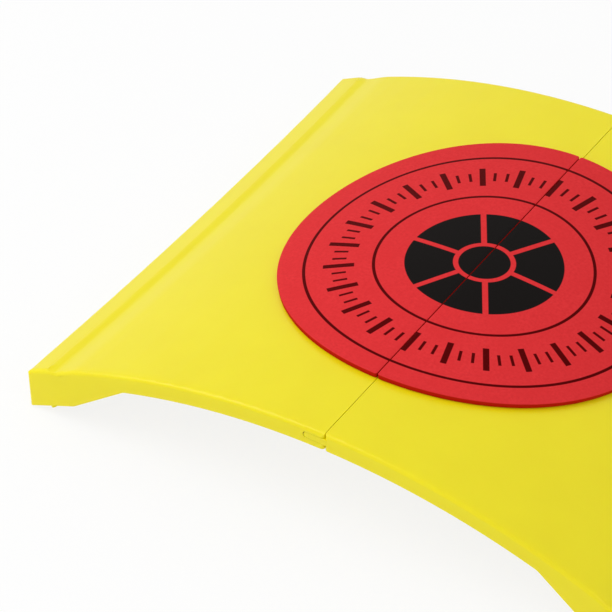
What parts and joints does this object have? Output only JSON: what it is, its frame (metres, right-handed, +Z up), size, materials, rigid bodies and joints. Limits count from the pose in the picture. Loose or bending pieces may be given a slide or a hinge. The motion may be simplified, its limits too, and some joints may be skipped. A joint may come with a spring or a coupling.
{
  "type": "re-breakable practice board",
  "caption": "Arched plastic practice board in two halves that plug together with a tongue and groove, with a round foam target disc cut along the split.",
  "frame": {"origin": "middle of the board's footprint, on the surface that it stands on", "axes": "+X from the groove half to the tongue half, +Y along the split, +Z up to the striking disc"},
  "size_m": [0.2882, 0.25, 0.055],
  "materials": {
    "board": "semi-gloss moulded yellow plastic",
    "pad": "matt red foam rubber with dark printed rings"
  },
  "bodies": {
    "left_half": {"left_board_half": "board", "left_pad_half": "pad"},
    "right_half": {"right_board_half": "board", "right_pad_half": "pad"}
  },
  "joints": [
    {"name": "pull_apart", "type": "slide", "parent": "left_half", "child": "right_half", "axis": [1, 0, 0], "range_m": [0, 0.04]}
  ]
}
